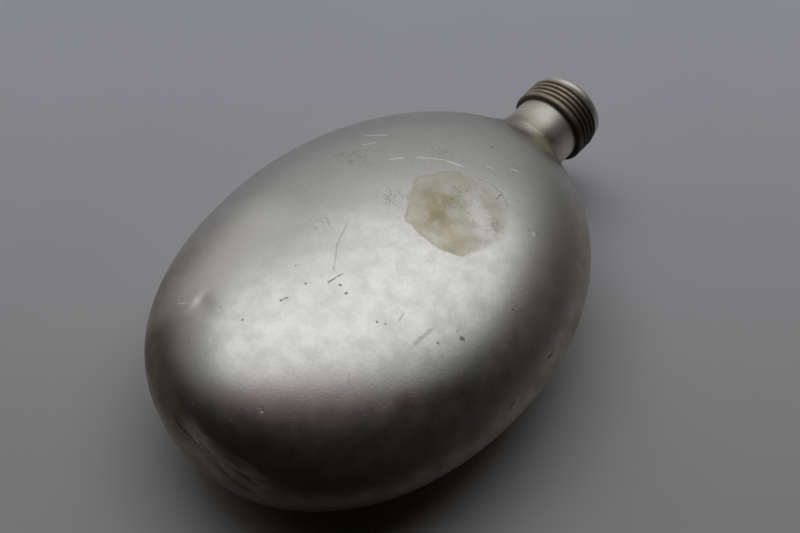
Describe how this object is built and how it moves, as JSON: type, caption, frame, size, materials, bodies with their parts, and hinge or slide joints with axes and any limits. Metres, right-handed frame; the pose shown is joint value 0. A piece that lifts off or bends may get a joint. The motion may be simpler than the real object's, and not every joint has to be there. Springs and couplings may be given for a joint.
{
  "type": "oval metal flask",
  "caption": "Oval drawn aluminium flask with a domed front, flattened back and short round neck, whose rolled lip holds a separate screw ring. It has no cap.",
  "frame": {"origin": "centre of the bounding box, on the plane of the flat back on which the flask lies", "axes": "+Z out of the domed front, +Y along the neck and out of the mouth, +X across the width"},
  "size_m": [0.14, 0.2112, 0.0635],
  "materials": {
    "drawn_aluminium": "worn satin aluminium with scratches, dull patches and a dried glue stain",
    "tarnished_ring": "dark brown tarnish, rubbed lighter on the crests"
  },
  "bodies": {
    "root": {"flask_body": "drawn_aluminium", "thread_ring": "tarnished_ring"}
  },
  "joints": []
}
